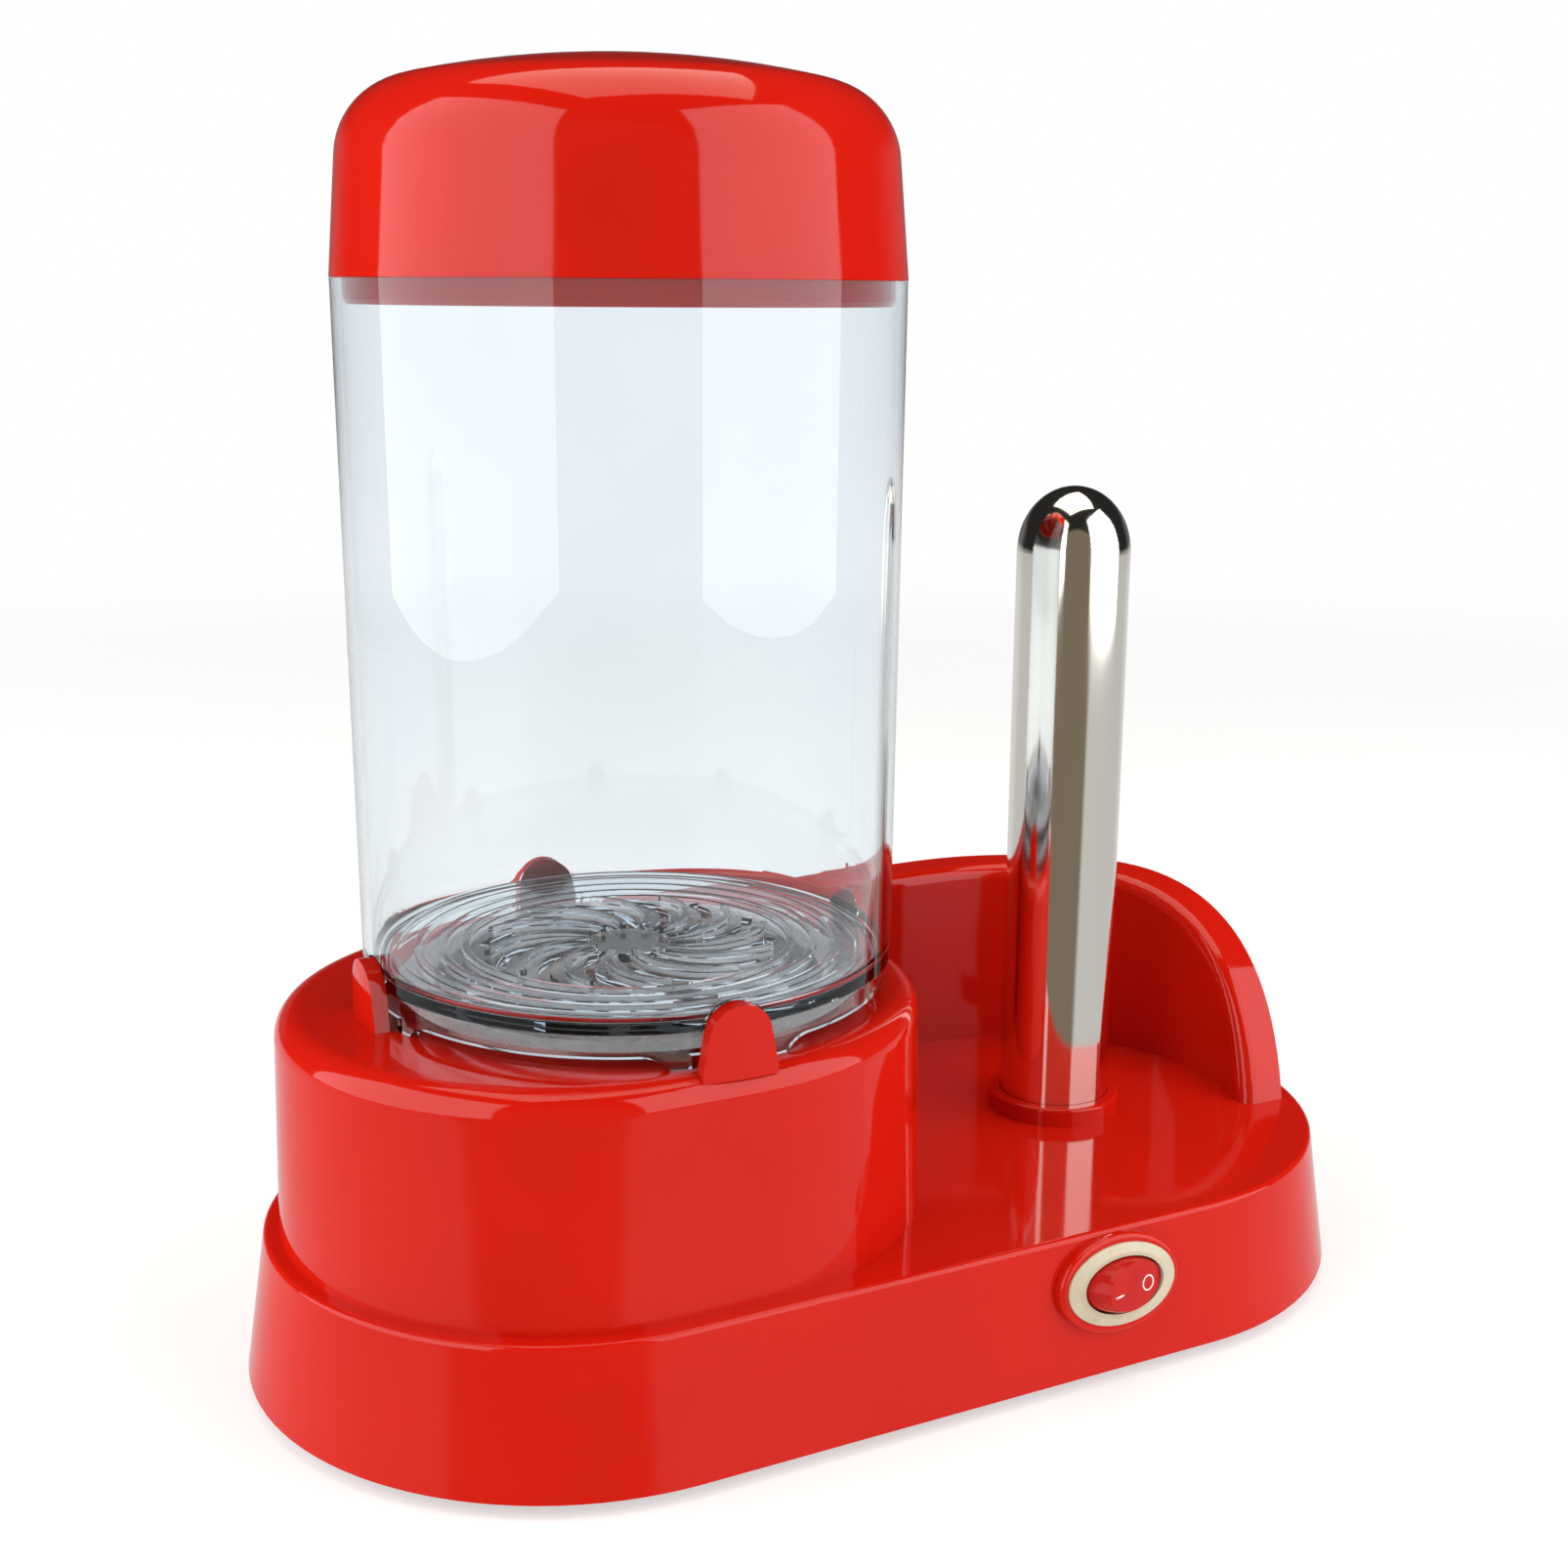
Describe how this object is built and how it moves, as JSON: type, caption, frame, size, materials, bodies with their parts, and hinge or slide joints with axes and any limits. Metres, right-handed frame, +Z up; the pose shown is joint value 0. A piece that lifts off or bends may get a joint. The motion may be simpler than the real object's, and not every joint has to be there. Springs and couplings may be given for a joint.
{
  "type": "hot dog toaster",
  "caption": "Hot dog toaster: a red base with a clear lidded steam jar for sausages over a heated water dish, and an upright heated spike for the bun.",
  "frame": {"origin": "on the table under the middle of the base, midway between the centres of its two round ends", "axes": "+Z up; +X from the jar towards the bun spike; the switch faces -Y"},
  "size_m": [0.2632, 0.1451, 0.2727],
  "materials": {
    "housing_plastic": "polished red moulding",
    "lid_plastic": "polished red moulding",
    "jar_plastic": "clear moulded plastic",
    "plate_plastic": "fine matt moulding",
    "bezel_plastic": "satin cream moulding",
    "rocker_plastic": "satin red moulding",
    "foot_rubber": "matt rubber",
    "seal_rubber": "silicone rubber",
    "spike_steel": "polished stainless steel",
    "dish_steel": "drawn stainless steel",
    "heater_steel": "oxidised steel sheath",
    "plated_steel": "zinc plate",
    "spreader_metal": "cast and turned",
    "heater_ceramic": "unglazed",
    "terminal_brass": "plain",
    "block_plastic": "natural nylon",
    "gland_plastic": "matt black moulding",
    "lead_silicone": "heat-proof silicone sleeve"
  },
  "bodies": {
    "base": {"main_housing": "housing_plastic", "bottom_plate": "plate_plastic", "switch_housing": "bezel_plastic", "foot_front_left": "foot_rubber", "foot_back_left": "foot_rubber", "foot_front_right": "foot_rubber", "foot_back_right": "foot_rubber", "dish_gasket": "seal_rubber", "spike_seal": "seal_rubber", "heating_spike": "spike_steel", "water_dish": "dish_steel", "dish_heater": "heater_steel", "dish_strap": "plated_steel", "dish_nuts": "plated_steel", "base_screws": "plated_steel", "spike_clamp_screws": "plated_steel", "cord_clamp_screws": "plated_steel", "spike_clamp_plate": "plated_steel", "thermostat": "plated_steel", "thermal_fuse": "plated_steel", "fuse_clip": "plated_steel", "heat_spreader": "spreader_metal", "spike_heater": "heater_ceramic", "switch_terminals": "terminal_brass", "terminal_block": "block_plastic", "cord_gland": "gland_plastic", "cord_clamp_bar": "gland_plastic", "live_lead": "lead_silicone", "thermostat_lead": "lead_silicone", "fuse_lead_back": "lead_silicone", "fuse_lead_front": "lead_silicone", "dish_return_lead": "lead_silicone", "spike_feed_lead": "lead_silicone", "spike_return_lead": "lead_silicone"},
    "rocker": {"switch_rocker": "rocker_plastic"},
    "jar": {"sausage_jar": "jar_plastic"},
    "lid": {"jar_lid": "lid_plastic"}
  },
  "joints": [
    {"name": "rocker_tilt", "type": "hinge", "parent": "base", "child": "rocker", "pos_m": [0.0366, -0.06748, 0.02252], "axis": [0, 0.1482, 0.989], "range_deg": [-34, 0]},
    {"name": "jar_lift", "type": "slide", "parent": "base", "child": "jar", "axis": [0, 0, 1], "range_m": [0, 0.12]},
    {"name": "lid_lift", "type": "slide", "parent": "jar", "child": "lid", "axis": [0, 0, 1], "range_m": [0, 0.06]}
  ]
}
